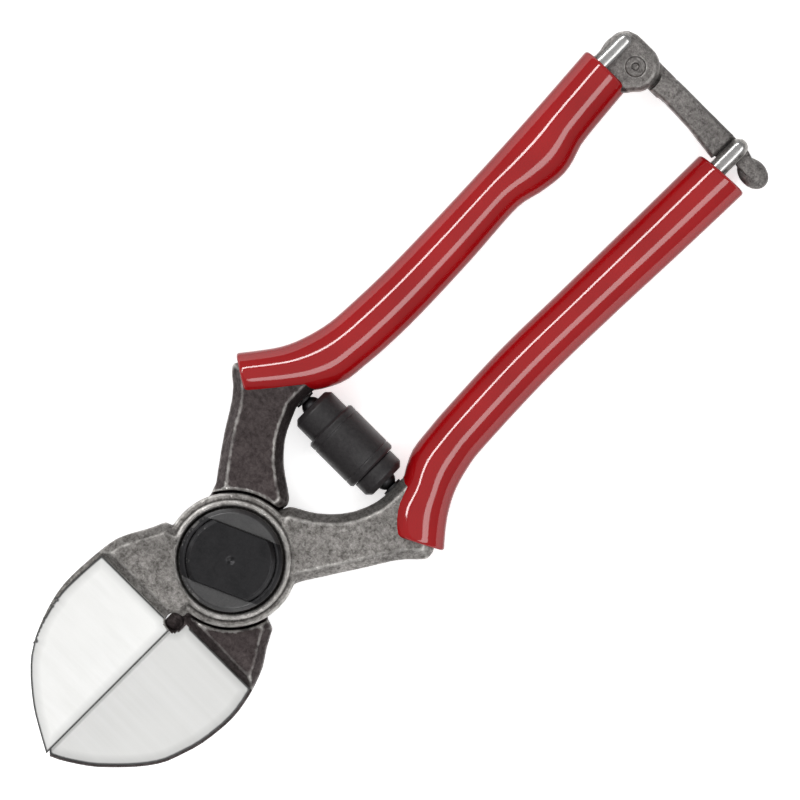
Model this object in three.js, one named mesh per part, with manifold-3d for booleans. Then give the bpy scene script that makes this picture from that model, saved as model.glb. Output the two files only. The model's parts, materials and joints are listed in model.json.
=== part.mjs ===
// Bypass pruning shears, closed and latched.
// Millimetres, +Z up. The pivot axis stands on the origin, the blades point along +Y,
// the handles along -Y, and the underside of the pivot bolt's head is the plane z = 0.
import * as THREE from 'three';
import { mergeVertices } from 'three/addons/utils/BufferGeometryUtils.js';
import Module from 'manifold-3d';

const wasm = await Module();
wasm.setup();

// ---- driving dimensions ----
const GAP = 0.3; // clearance between pieces that touch
const RUN = 0.15; // radial running clearance of the pivot and hinge fits
const ROUND = 60; // sides of a large circle
const SMALL_ROUND = 24; // sides of a small circle
const TUBE_ROUND = 36; // sides of the spring unit's cups and guard
const EDGE_STEP = 3.2; // distance between points along a shank's edge
const BLADE_STEP = 2.4; // the same along a blade's back
const GRIP_STEP = 4.8; // the same along a grip

// heights
const BOLT_HEAD_HEIGHT = 1.8;
const MID_Z = 7.5; // middle plane of the handles, and the plane where the blades meet
const STEEL_HALF_HEIGHT = 5.5; // forged shanks and tangs
const GRIP_HALF_HEIGHT = 7.4;
const FRONT_BOSS_TOP = 12.4;
const BOSS_RIM_HEIGHT = 1.2;

// pivot
const REAR_BOSS_R = 16;
const FRONT_BOSS_R = 16.1;
const BOSS_RIM_R = 14.4;
const BOLT_HEAD_R = 12;
const BOLT_R = 5;
const BUSH_WALL = 1.6;
const THRUST_WASHER_R = 11;
const SPRING_WASHER_R = 9;
const SPRING_WASHER_HEIGHT = 0.8;
const NUT_R = 12.3;
const NUT_HEIGHT = 3.6;
const NUT_BAND_HEIGHT = 1.3; // spanner band above the nut's shoulders
const NUT_ACROSS_FLATS = 15.2;
const NUT_BAND_TURN = 24; // degrees from +X
const NUT_ROOF = 1.6; // metal left over the bolt's end

// blades
const HEEL_Y = 8;
const TIP_Y = 64;
const FRONT_BLADE_REACH = 24.3; // widest point of the front blade
const REAR_BLADE_REACH = 27; // widest point of the rear blade
const CUT_X = -1.5; // the front blade's cutting line
const BLADE_OVERLAP = 2.6; // how far the rear blade's edge reaches under the front blade
const BLADE_THICK = 4.2;
const EDGE_THICK = 0.5; // metal left at the ground edge
const FRONT_GRIND_Y = 21;
const REAR_GRIND_Y = 18.6;
const RIM_WIDTH = 1.2; // unground rim along the front blade's back
const BACK_CHAMFER = 0.6; // broken edge along both blade backs
const HEEL_DRAFT = 2.1; // width of the sloped sides of the heels
const HEEL_DRAFT_HEIGHT = 2.2;
const REAR_HEEL_RISE = 2.4; // forged heel above the rear blade's ground face
const NOTCH_R = 2.2; // sap notch between the blades
const NOTCH_X = -0.8;
const NOTCH_Y = 20;
const NOTCH_FLOOR = 1.4; // metal left under the notch in the rear blade

// handles
const GRIP_BEND_Y = -62; // where the straight stretch begins
const GRIP_END_Y = -148.6; // end of the front grip, and of the straight stretch
const REAR_GRIP_SHORT = 2.2; // how much earlier the rear grip ends
const TANG_END_Y = GRIP_END_Y + 2.5; // where the tang narrows to its end
const GRIP_WALL = 2;
const GRIP_ROUND = 4.6; // rounding of the grip's section
const SHANK_DRAFT = 2.2; // width of the sloped sides of the forging
const SHANK_DRAFT_HEIGHT = 3;

// catch
const HINGE_X = 15;
const HINGE_Y = GRIP_END_Y - 2.8;
const HINGE_R = 1.9;
const HINGE_HEAD_R = 2.6;
const HINGE_HEAD_RISE = 0.4;
const EAR_R = 6;
const EAR_HALF_HEIGHT = 4.6;
const EAR_BEVEL = 1.2;
const EAR_RIB_X = [19, 23.6]; // raised rib that carries the tang past the hinge
const EAR_RIB_RISE = 1;
const SLOT_HALF = 2.5;
const TONGUE_HALF = 2.15;
const TONGUE_R = 4.3;
const LINK_HALF = 4;
const LINK_IN = 1.4; // link edge towards the blades, from the hinge line
const LINK_OUT = 5; // link edge away from the blades
const LINK_BEVEL = 0.6;
const CATCH_PIN_X = -16;
const CATCH_PIN_Y = HINGE_Y - 0.5;
const CATCH_PIN_R = 1.2;
const PIN_PLAY = 1.0; // how far the pin can move in the hook towards the knob
const TANG_EAR_X = [-18.4, -13.8]; // sides of the front tang's ears
const TANG_EAR_END_Y = HINGE_Y - 6.2;
const KNOB = { x: -22.8, y: HINGE_Y - 2, rx: 4.3, ry: 3.3, rz: 2.25 };

// spring unit
const SPRING_Y = -39.5;
const SEAT_HALF = 2.9; // half length of the flat spring seat
const REAR_WALL_X = 14.8;
const FRONT_WALL_X = -15.1;
const BALL_R = 2.5;
const BALL_STANDOFF = 2.7; // ball centre to wall
const BALL_PLAY = 0.5;
const PEG_R = 1.7;
const PEG_DEPTH = 4.5;
const PEG_FLANGE_R = 2.5;
const PEG_FLANGE_HEIGHT = 0.5;
const CUP_R = 5.85;
const CUP_WALL = 0.85;
const CUP_CHAMFER = 1.2;
const CUP_FLOOR = 3.7; // solid end of a cup, past its ball
const SLIDER_WALL = 0.8;
const SLIDE_GAP = 0.2;
const FRONT_CUP_LENGTH = 4.6;
const GUARD_LENGTH = 14.6;
const GUARD_WALL = 0.85;
const SPRING_WIRE_R = 0.55;
const SPRING_TURNS = 7;

// ---- colours and finishes ----
const FINISH = {
  forging: { color: 0x5d5854, roughness: 0.55, metalness: 0.85 },
  darkForging: { color: 0x453f3e, roughness: 0.6, metalness: 0.8 },
  black: { color: 0x2b2b2d, roughness: 0.4, metalness: 0.6 },
  steel: { color: 0xa9a9ab, roughness: 0.3, metalness: 0.9 },
  bronze: { color: 0xa8854f, roughness: 0.4, metalness: 0.8 },
  redVinyl: { color: 0xb90d16, roughness: 0.25, metalness: 0 },
  blackPlastic: { color: 0x1f1e20, roughness: 0.45, metalness: 0 },
};

// ---- solids from three.js geometry ----
function solid(geometry) {
  const bare = geometry.index ? geometry.toNonIndexed() : geometry.clone();
  bare.deleteAttribute('normal');
  bare.deleteAttribute('uv');
  const merged = mergeVertices(bare, 1e-4);
  return new wasm.Manifold(new wasm.Mesh({
    numProp: 3,
    vertProperties: new Float32Array(merged.attributes.position.array),
    triVerts: new Uint32Array(merged.index.array),
  }));
}

function slab(outline, z0, z1, bevel = 0, bevelHeight = bevel, bevelSegments = 1) {
  const shape = new THREE.Shape(outline.map(([x, y]) => new THREE.Vector2(x, y)));
  const geometry = new THREE.ExtrudeGeometry(shape, {
    depth: z1 - z0 - 2 * bevelHeight,
    bevelEnabled: bevel > 0,
    bevelSize: bevel,
    bevelOffset: -bevel,
    bevelThickness: bevelHeight,
    bevelSegments,
  });
  geometry.translate(0, 0, z0 + bevelHeight);
  return solid(geometry);
}

function block([x0, x1], [y0, y1], [z0, z1]) {
  const geometry = new THREE.BoxGeometry(x1 - x0, y1 - y0, z1 - z0);
  geometry.translate((x0 + x1) / 2, (y0 + y1) / 2, (z0 + z1) / 2);
  return solid(geometry);
}

// turned profile of [radius, height] pairs, standing on the z axis at x, y
function turned(profile, x = 0, y = 0, sides = ROUND) {
  const geometry = new THREE.LatheGeometry(profile.map(([r, z]) => new THREE.Vector2(r, z)), sides);
  geometry.rotateX(Math.PI / 2);
  geometry.translate(x, y, 0);
  return solid(geometry);
}

function disc(r, z0, z1, x = 0, y = 0, sides = ROUND) {
  return turned([[0, z0], [r, z0], [r, z1], [0, z1]], x, y, sides);
}

function ring(rIn, rOut, z0, z1) {
  return turned([[rIn, z0], [rOut, z0], [rOut, z1], [rIn, z1], [rIn, z0]]);
}

// turned profile of [x, radius] pairs, lying along the spring's axis
function turnedAlongX(profile, sides = TUBE_ROUND) {
  const geometry = new THREE.LatheGeometry(profile.map(([x, r]) => new THREE.Vector2(r, x)), sides);
  geometry.rotateZ(-Math.PI / 2);
  geometry.translate(0, SPRING_Y, MID_Z);
  return solid(geometry);
}

function named(name, body, finish) {
  const mesh = body.getMesh();
  const geometry = new THREE.BufferGeometry();
  geometry.setAttribute('position', new THREE.BufferAttribute(new Float32Array(mesh.vertProperties), 3));
  geometry.setIndex(new THREE.BufferAttribute(new Uint32Array(mesh.triVerts), 1));
  geometry.computeVertexNormals();
  const object = new THREE.Mesh(geometry, new THREE.MeshStandardMaterial(FINISH[finish]));
  object.name = name;
  return object;
}

// ---- outlines ----
function smooth(points, step = EDGE_STEP) {
  const curve = new THREE.SplineCurve(points.map(([x, y]) => new THREE.Vector2(x, y)));
  const count = Math.max(2, Math.ceil(curve.getLength() / step));
  return curve.getSpacedPoints(count).map((p) => [p.x, p.y]);
}

// each point moved sideways by a distance, to the left of the way the line runs
function sideways(points, distance, closed = false) {
  const n = points.length;
  return points.map(([x, y], i) => {
    const before = points[closed ? (i + n - 1) % n : Math.max(i - 1, 0)];
    const after = points[closed ? (i + 1) % n : Math.min(i + 1, n - 1)];
    const here = new THREE.Vector2(x, y);
    const a = here.clone().sub(new THREE.Vector2(...before));
    const b = new THREE.Vector2(...after).sub(here);
    if (a.length() === 0) a.copy(b);
    if (b.length() === 0) b.copy(a);
    a.normalize();
    b.normalize();
    const along = a.clone().add(b).normalize();
    const reach = distance / Math.max(0.5, along.dot(a));
    return [x - along.y * reach, y + along.x * reach];
  });
}

// an outline without points that crowd the one before them
function spaced(outline, least = 0.9) {
  return outline.filter(([x, y], i) => {
    const [px, py] = outline[(i + outline.length - 1) % outline.length];
    return Math.hypot(x - px, y - py) >= least;
  });
}

// an outline made larger all round
function grown(outline, distance) {
  const area = THREE.ShapeUtils.area(outline.map(([x, y]) => new THREE.Vector2(x, y)));
  return sideways(outline, area > 0 ? -distance : distance, true);
}

function arc(x, y, r, from, to, steps) {
  return Array.from({ length: steps + 1 }, (_, i) => {
    const angle = THREE.MathUtils.degToRad(from + ((to - from) * i) / steps);
    return [x + r * Math.cos(angle), y + r * Math.sin(angle)];
  });
}

// shares of the way from the bend to the handle's end
function along(points) {
  return points.map(([x, share]) => [x, GRIP_BEND_Y + share * (GRIP_END_Y - GRIP_BEND_Y)]);
}

function blade(points, reach) {
  return points.map(([width, share]) => [width * reach, HEEL_Y + share * (TIP_Y - HEEL_Y)]);
}

// ---- blade backs, from the heel to the tip: share of the reach, share of the length ----
const frontBack = smooth([
  ...blade([[0.72, -0.06], [0.78, 0], [0.87, 0.07], [0.945, 0.14], [0.98, 0.24], [1, 0.38], [0.985, 0.47],
    [0.94, 0.55], [0.86, 0.645], [0.76, 0.725], [0.68, 0.77], [0.555, 0.824], [0.35, 0.896],
    [0.145, 0.95]], FRONT_BLADE_REACH),
  [CUT_X, TIP_Y],
], BLADE_STEP);
const rearBack = smooth([
  ...blade([[-0.69, -0.06], [-0.765, 0.01], [-0.865, 0.085], [-0.93, 0.16], [-0.975, 0.24], [-1, 0.33],
    [-0.99, 0.42], [-0.96, 0.515], [-0.905, 0.6], [-0.86, 0.66], [-0.785, 0.72], [-0.665, 0.79],
    [-0.5, 0.87], [-0.39, 0.915], [-0.2, 0.975]], REAR_BLADE_REACH),
  [CUT_X - 1, TIP_Y],
], BLADE_STEP);

// the stretch of a blade's back below a height, ended on that height
function backUpTo(back, yEnd) {
  const next = back.findIndex(([, y]) => y >= yEnd);
  const [[xBefore, yBefore], [xNext, yNext]] = [back[next - 1], back[next]];
  const share = (yEnd - yBefore) / (yNext - yBefore);
  return [...back.slice(0, next), [xBefore + share * (xNext - xBefore), yEnd]];
}

// heel outlines, from the grinding line down along the back to the boss
const frontHeel = spaced([
  ...backUpTo(frontBack, FRONT_GRIND_Y).reverse(), [4, 0], [CUT_X, 9], [CUT_X, FRONT_GRIND_Y],
], HEEL_DRAFT);
const rearHeel = spaced([
  ...backUpTo(rearBack, REAR_GRIND_Y).reverse(), [-4, 0], [0, 9], [CUT_X + 0.4, REAR_GRIND_Y - 3],
  [CUT_X - 3.4, REAR_GRIND_Y],
], HEEL_DRAFT);

// the unground rim is full at the heel and gone where it reaches its end
function rimShare(y) {
  const rimEnd = FRONT_GRIND_Y + 0.62 * (TIP_Y - FRONT_GRIND_Y);
  return THREE.MathUtils.clamp((rimEnd - y) / (rimEnd - FRONT_GRIND_Y - 8), 0, 1);
}

// ---- grip edges, from the knee to the end ----
const frontGripOuter = smooth([[-34.5, -37.4], [-31.4, -41], [-28.7, -44.7], [-26.1, -49.7],
  [-24.4, -55.7],
  ...along([[-23.6, 0], [-22.8, 0.25], [-23.2, 0.5], [-24.1, 0.77], [-24.7, 1]])], GRIP_STEP);
const frontGripInner = smooth([[-22.3, -31.2], [-19.4, -33.6], [-17, -36.8], [-15.8, -40.4],
  [-15.1, -43], [-13.4, -46], [-11.9, -49.7], [-11.2, -55.7],
  ...along([[-10.7, 0], [-9.9, 0.22], [-10.2, 0.45], [-10.5, 0.7], [-10.8, 1]])], GRIP_STEP);
const rearGripOuter = smooth([[34.2, -35.7], [30.8, -40], [27.5, -44.7], [25.3, -49.7], [23.7, -55.7],
  ...along([[23.1, 0], [22.7, 0.15], [23, 0.33], [23.6, 0.52], [24.3, 0.68], [25.2, 0.84],
    [26.2, 1]])], GRIP_STEP);
const rearGripInner = smooth([[25, -29.9], [21, -34.6], [16, -40.8], [13.2, -44.7], [10.9, -49.7],
  [10.2, -55.7],
  ...along([[9.7, 0], [9.5, 0.13], [10.1, 0.33], [11.1, 0.5], [10.9, 0.555], [9.9, 0.6], [9.1, 0.66],
    [9.1, 0.7], [9.9, 0.74], [11.1, 0.785], [12.2, 0.91], [12.8, 1]])], EDGE_STEP);

// ---- steel outlines: shank, knee and tang ----
const steelBottom = MID_Z - STEEL_HALF_HEIGHT;
const steelTop = MID_Z + STEEL_HALF_HEIGHT;
const frontBottom = MID_Z + GAP / 2;
const rearTop = MID_Z - GAP / 2;

// the stretch of a grip's edge that the tang follows, from the knee to just inside the grip's end
function tangEdge(gripEdge, firstY, inward) {
  const edge = sideways(gripEdge, inward);
  const kept = edge.filter(([, y]) => y < firstY && y > TANG_END_Y + EDGE_STEP);
  const [xLast] = edge.at(-1);
  return [...kept, [xLast, TANG_END_Y]];
}

const frontShank = spaced([
  [-6, -6], [-14, -5],
  ...smooth([[-15.6, -8.4], [-18.8, -13.4], [-23.5, -20.7], [-28.3, -28.3], [-31.8, -31.9]]),
  [-33, -33.4], [-32.7, -35.6],
  ...tangEdge(frontGripOuter, -37, GRIP_WALL),
  ...tangEdge(frontGripInner, -47, -GRIP_WALL).reverse(),
  [-15.6, -44.2], [FRONT_WALL_X, SPRING_Y - SEAT_HALF], [FRONT_WALL_X, SPRING_Y + SEAT_HALF],
  ...smooth([[-14.8, -34.4], [-13.5, -30.7], [-11.5, -27.2], [-8.5, -23.9], [-5.4, -21.5], [-1.8, -19.5]]),
  [-0.8, -18.8], [0.5, -16],
]);
const rearShank = spaced([
  [6, -6], [0.2, -14], [-0.3, -18.8],
  ...smooth([[0.5, -20.1], [2.6, -21.6], [6.5, -24.3], [9.6, -27.3], [11.9, -30.4], [13.6, -34]]),
  [REAR_WALL_X, SPRING_Y + SEAT_HALF], [REAR_WALL_X, SPRING_Y - SEAT_HALF],
  ...tangEdge(rearGripInner, -46, GRIP_WALL),
  ...tangEdge(rearGripOuter, -34.8, -GRIP_WALL).reverse(),
  [32.9, -33.4],
  ...smooth([[31.4, -31.6], [28, -28.6], [25, -24.2], [23, -20.8], [18.6, -14.6], [15.5, -10.4]]),
  [14, -6],
]);

function shankBody(outline, extra = 0) {
  const body = extra > 0 ? grown(outline, extra) : outline;
  return slab(body, steelBottom - extra, steelTop + extra, SHANK_DRAFT, SHANK_DRAFT_HEIGHT, 1);
}

// ---- ends of the tangs ----
const rearTangEnd = [
  [16, TANG_END_Y + 6], [13, HINGE_Y + 6.6], ...arc(HINGE_X, HINGE_Y, EAR_R, 150, 268, 9),
  ...[[20, 5.9], [22.5, 4.9], [23.9, 2.8], [24.3, -0.4]].map(([x, past]) => [x, HINGE_Y - past]),
  [22, TANG_END_Y + 6],
];
const [ribLeft, ribRight] = EAR_RIB_X;
const ribMiddle = (ribLeft + ribRight) / 2;
const earRib = [
  [ribLeft, TANG_END_Y + 6], ...arc(ribMiddle, HINGE_Y - 2.6, ribMiddle - ribLeft, 180, 360, 8),
  [ribRight, TANG_END_Y + 6],
];
const [earLeft, earRight] = TANG_EAR_X;
const earTip = (earRight - earLeft) / 2;
const frontTangEnd = [
  [earLeft, TANG_END_Y + 6],
  ...arc(earLeft + earTip, TANG_EAR_END_Y + earTip, earTip, 180, 360, 8),
  [earRight, TANG_END_Y + 6],
];

function tangEnd(outline, extra = 0, rise = 0) {
  const body = extra > 0 ? grown(outline, extra) : outline;
  const reach = EAR_HALF_HEIGHT + rise + extra;
  return slab(body, MID_Z - reach, MID_Z + reach, EAR_BEVEL);
}

const slotZ = [MID_Z - SLOT_HALF, MID_Z + SLOT_HALF];

// a blind hole in a spring wall, opened a little past the wall's face
function pegHole(wall, way) {
  const r = PEG_R + RUN;
  const [x0, x1] = [wall - way * GAP, wall + way * (PEG_DEPTH + GAP)].sort((a, b) => a - b);
  return turnedAlongX([[x0, 0], [x0, r], [x1, r], [x1, 0]], SMALL_ROUND);
}

// a wedge that grinds a blade: everything on one side of a sloping plane between two lines in x
function wedge(xEdge, zEdge, xBack, zBack, zFar, y0, y1) {
  const outline = [[xEdge, zEdge], [xBack, zBack], [xBack, zFar], [xEdge, zFar]];
  const shape = new THREE.Shape(outline.map(([x, z]) => new THREE.Vector2(x, z)));
  const geometry = new THREE.ExtrudeGeometry(shape, { depth: y1 - y0, bevelEnabled: false });
  geometry.rotateX(Math.PI / 2);
  geometry.translate(0, y1, 0);
  return solid(geometry);
}

const boreR = BOLT_R + RUN + BUSH_WALL + RUN;
const pivotBore = disc(boreR, -1, 30);

// a forged heel: a slab with sloped sides, standing on a plane
function heelBody(outline, z0, z1) {
  return slab(outline, z0 - 2 * HEEL_DRAFT_HEIGHT, z1, HEEL_DRAFT, HEEL_DRAFT_HEIGHT)
    .trimByPlane([0, 0, 1], z0);
}

// ---- rear arm: the lower blade and the handle on the +X side ----
function rearArm() {
  const rearBottom = rearTop - BLADE_THICK;
  const edgeX = CUT_X + BLADE_OVERLAP;
  const plate = [...rearBack, [CUT_X + BLADE_OVERLAP * 0.5, TIP_Y - 2.4], [edgeX, TIP_Y - 5],
    [edgeX, HEEL_Y], [0, 0]];
  const chamfered = [...rearBack, [edgeX + 5, TIP_Y], [edgeX + 5, -5], [-5, -5]];
  const bevel = wedge(3 * RIM_WIDTH - REAR_BLADE_REACH, rearBottom, edgeX + 0.5,
    rearTop - EDGE_THICK, rearBottom - 3, REAR_GRIND_Y + 4, TIP_Y + 2);
  const frontAbove = disc(FRONT_BOSS_R + 2 * GAP, rearTop, 40)
    .add(slab(grown(frontShank, 2 * GAP), rearTop, 40))
    .add(slab(grown(frontHeel, 2 * GAP), rearTop, 40));
  return slab(chamfered, rearBottom, rearTop, BACK_CHAMFER)
    .intersect(slab(plate, -1, 40))
    .subtract(bevel)
    .add(heelBody(rearHeel, rearBottom, rearTop + REAR_HEEL_RISE))
    .add(disc(REAR_BOSS_R, BOLT_HEAD_HEIGHT, rearTop))
    .add(shankBody(rearShank))
    .subtract(frontAbove)
    .subtract(pivotBore)
    .subtract(disc(NOTCH_R, rearBottom + NOTCH_FLOOR, 30, NOTCH_X, NOTCH_Y, SMALL_ROUND))
    .add(tangEnd(rearTangEnd))
    .add(tangEnd(earRib, 0, EAR_RIB_RISE))
    .subtract(block([HINGE_X - 20, HINGE_X + TONGUE_R + 2 * GAP],
      [HINGE_Y - 20, HINGE_Y + TONGUE_R + 2 * GAP], slotZ))
    .subtract(disc(HINGE_R + RUN, -10, 30, HINGE_X, HINGE_Y, SMALL_ROUND))
    .subtract(pegHole(REAR_WALL_X, 1));
}

// ---- front arm: the upper blade and the handle on the -X side ----
function frontArm() {
  const frontTop = frontBottom + BLADE_THICK;
  const plate = [...frontBack, [CUT_X, 5], [0, 0]];
  const chamfered = [...frontBack, [CUT_X - 5, TIP_Y], [CUT_X - 5, -5], [5, -5]];
  const ground = wedge(CUT_X - 0.2, frontBottom + EDGE_THICK, FRONT_BLADE_REACH,
    frontTop - 0.3, frontTop + 9, FRONT_GRIND_Y, TIP_Y + 2);
  const rim = frontBack.map(([x, y]) => [x - RIM_WIDTH * rimShare(y), y]);
  const face = [...rim, [CUT_X - 4, TIP_Y + 4], [CUT_X - 4, 5], [rim[0][0], 5]];
  const rearBelow = disc(REAR_BOSS_R + 2 * GAP, -5, frontBottom)
    .add(slab(grown(rearShank, 2 * GAP), -5, frontBottom));
  return slab(chamfered, frontBottom - 2, frontTop, BACK_CHAMFER)
    .intersect(slab(plate, frontBottom, 40))
    .subtract(ground.intersect(slab(face, -1, 40)))
    .add(heelBody(frontHeel, frontBottom, FRONT_BOSS_TOP + BOSS_RIM_HEIGHT))
    .add(disc(FRONT_BOSS_R, frontBottom, FRONT_BOSS_TOP))
    .add(ring(NUT_R + 2 * GAP, BOSS_RIM_R, FRONT_BOSS_TOP - 1, FRONT_BOSS_TOP + BOSS_RIM_HEIGHT))
    .add(shankBody(frontShank).subtract(rearBelow))
    .subtract(disc(NUT_R + 2 * GAP, FRONT_BOSS_TOP, 40))
    .subtract(pivotBore)
    .subtract(disc(NOTCH_R, -1, 30, NOTCH_X, NOTCH_Y, SMALL_ROUND))
    .add(tangEnd(frontTangEnd))
    .subtract(block([earLeft - 20, earRight + 20], [TANG_EAR_END_Y - 5, GRIP_END_Y - 0.5], slotZ))
    .subtract(disc(CATCH_PIN_R + RUN, MID_Z - EAR_HALF_HEIGHT + 1, MID_Z + EAR_HALF_HEIGHT - 1,
      CATCH_PIN_X, CATCH_PIN_Y, SMALL_ROUND))
    .subtract(pegHole(FRONT_WALL_X, -1));
}

// ---- grips: a rounded sleeve over each tang, open round the steel at both ends ----
function extended(points, dx, dy) {
  return points.map(([x, y]) => [x + dx, y + dy]);
}

function grip(outer, inner, shank, end, endY) {
  const [xo, yo] = outer[0];
  const [xi, yi] = inner[0];
  const mouth = new THREE.Vector2(yi - yo, xo - xi).normalize();
  if (mouth.y < 0) mouth.negate();
  const past = 2 * GRIP_ROUND;
  const outline = [
    ...extended([inner[0], outer[0]], mouth.x * past, mouth.y * past),
    ...outer.slice(1, -1),
    ...extended([outer.at(-1), inner.at(-1)], 0, -past),
    ...inner.slice(1, -1).reverse(),
  ];
  return slab(outline, MID_Z - GRIP_HALF_HEIGHT, MID_Z + GRIP_HALF_HEIGHT, GRIP_ROUND, GRIP_ROUND, 3)
    .trimByPlane([-mouth.x, -mouth.y, 0], -(mouth.x * xo + mouth.y * yo))
    .trimByPlane([0, 1, 0], endY)
    .subtract(shankBody(shank, GAP))
    .subtract(tangEnd(end, GAP));
}

// ---- pivot ----
function pivotBolt() {
  const shankTop = FRONT_BOSS_TOP + SPRING_WASHER_HEIGHT + NUT_HEIGHT - NUT_ROOF;
  return turned([[0, 0], [BOLT_HEAD_R - 0.5, 0], [BOLT_HEAD_R, 0.5], [BOLT_HEAD_R, BOLT_HEAD_HEIGHT],
    [BOLT_R, BOLT_HEAD_HEIGHT], [BOLT_R, shankTop - 0.6], [BOLT_R - 0.6, shankTop], [0, shankTop]]);
}

function pivotNut() {
  const bottom = FRONT_BOSS_TOP + SPRING_WASHER_HEIGHT;
  const top = bottom + NUT_HEIGHT;
  const turn = THREE.MathUtils.degToRad(NUT_BAND_TURN);
  const half = NUT_ACROSS_FLATS / 2;
  const band = new THREE.BoxGeometry(3 * NUT_R, 2 * half, 4 * NUT_BAND_HEIGHT);
  band.translate(0, 0, top);
  band.rotateZ(turn);
  const body = turned([[0, bottom], [NUT_R, bottom], [NUT_R, top - 0.9], [NUT_R - 0.9, top],
    [0, top]]);
  const crown = turned([[0, top - 1], [NUT_R - 0.9, top - 1], [NUT_R - 0.9, top],
    [NUT_R - 0.9 - NUT_BAND_HEIGHT, top + NUT_BAND_HEIGHT], [1, top + NUT_BAND_HEIGHT],
    [0, top + NUT_BAND_HEIGHT - 0.7]]).intersect(solid(band));
  return body.add(crown).subtract(disc(BOLT_R + RUN, bottom - 1, top - NUT_ROOF + GAP));
}

// ---- spring unit ----
const rearBall = REAR_WALL_X - BALL_STANDOFF;
const frontBall = FRONT_WALL_X + BALL_STANDOFF;
const frontTubeR = CUP_R - CUP_WALL - SLIDE_GAP;
const springR = frontTubeR - SLIDER_WALL - SLIDE_GAP - SPRING_WIRE_R;
const cupMouth = BALL_PLAY; // a cup's end face lies this far outside its ball's centre
const rearFloor = rearBall + cupMouth - CUP_FLOOR;
const frontFloor = frontBall - cupMouth + CUP_FLOOR;
const frontShoulder = frontBall - cupMouth + FRONT_CUP_LENGTH;

function springPeg(wall, way) {
  const ball = wall - way * BALL_STANDOFF;
  const neck = [];
  for (let i = 1; i < 8; i += 1) {
    const angle = (i * 2.45) / 8;
    neck.push([ball - way * BALL_R * Math.cos(angle), BALL_R * Math.sin(angle)]);
  }
  const profile = [[ball - way * BALL_R, 0], ...neck,
    [wall - way * (PEG_FLANGE_HEIGHT + 0.1), 1.4], [wall - way * PEG_FLANGE_HEIGHT, PEG_FLANGE_R],
    [wall, PEG_FLANGE_R], [wall, PEG_R], [wall + way * PEG_DEPTH, PEG_R], [wall + way * PEG_DEPTH, 0]];
  return turnedAlongX(way > 0 ? profile : profile.reverse(), SMALL_ROUND);
}

function ballSocket(ball) {
  const r = BALL_R + BALL_PLAY;
  const steps = 12;
  const profile = [];
  for (let i = 0; i <= steps; i += 1) {
    const angle = (Math.PI * i) / steps;
    profile.push([ball - r * Math.cos(angle), i === 0 || i === steps ? 0 : r * Math.sin(angle)]);
  }
  return turnedAlongX(profile, SMALL_ROUND);
}

function rearSpringCup() {
  const end = rearBall + cupMouth;
  const inner = CUP_R - CUP_WALL;
  const tube = frontShoulder + GAP;
  return turnedAlongX([[tube, inner], [tube, CUP_R], [end - CUP_CHAMFER, CUP_R],
    [end, CUP_R - CUP_CHAMFER], [end, 0],
    [rearFloor, 0], [rearFloor, inner], [tube, inner]])
    .subtract(ballSocket(rearBall));
}

function frontSpringCup() {
  const end = frontBall - cupMouth;
  const inner = frontTubeR - SLIDER_WALL;
  const tube = rearFloor - GAP;
  return turnedAlongX([[end, 0], [end, CUP_R - CUP_CHAMFER], [end + CUP_CHAMFER, CUP_R],
    [frontShoulder, CUP_R],
    [frontShoulder, frontTubeR], [tube, frontTubeR], [tube, inner], [frontFloor, inner],
    [frontFloor, 0]])
    .subtract(ballSocket(frontBall));
}

function guardSleeve() {
  const middle = (rearBall + frontBall) / 2 - 0.8;
  const [x0, x1] = [middle - GUARD_LENGTH / 2, middle + GUARD_LENGTH / 2];
  const inner = CUP_R + SLIDE_GAP;
  const outer = inner + GUARD_WALL;
  return turnedAlongX([[x0, inner], [x0, outer - 0.5], [x0 + 0.5, outer], [x1 - 0.5, outer],
    [x1, outer - 0.5], [x1, inner], [x0, inner]]);
}

function coilSpring() {
  const x0 = frontFloor + GAP + SPRING_WIRE_R;
  const x1 = rearFloor - GAP - SPRING_WIRE_R;
  const stepsPerTurn = 12;
  const points = [];
  for (let i = 0; i <= SPRING_TURNS * stepsPerTurn; i += 1) {
    const angle = (2 * Math.PI * i) / stepsPerTurn;
    const x = x0 + ((x1 - x0) * i) / (SPRING_TURNS * stepsPerTurn);
    const y = SPRING_Y + springR * Math.cos(angle);
    points.push(new THREE.Vector3(x, y, MID_Z + springR * Math.sin(angle)));
  }
  const round = arc(0, 0, SPRING_WIRE_R, 0, 300, 5);
  const section = new THREE.Shape(round.map(([x, y]) => new THREE.Vector2(x, y)));
  return solid(new THREE.ExtrudeGeometry(section, {
    steps: SPRING_TURNS * stepsPerTurn,
    extrudePath: new THREE.CatmullRomCurve3(points),
    bevelEnabled: false,
  }));
}

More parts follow.
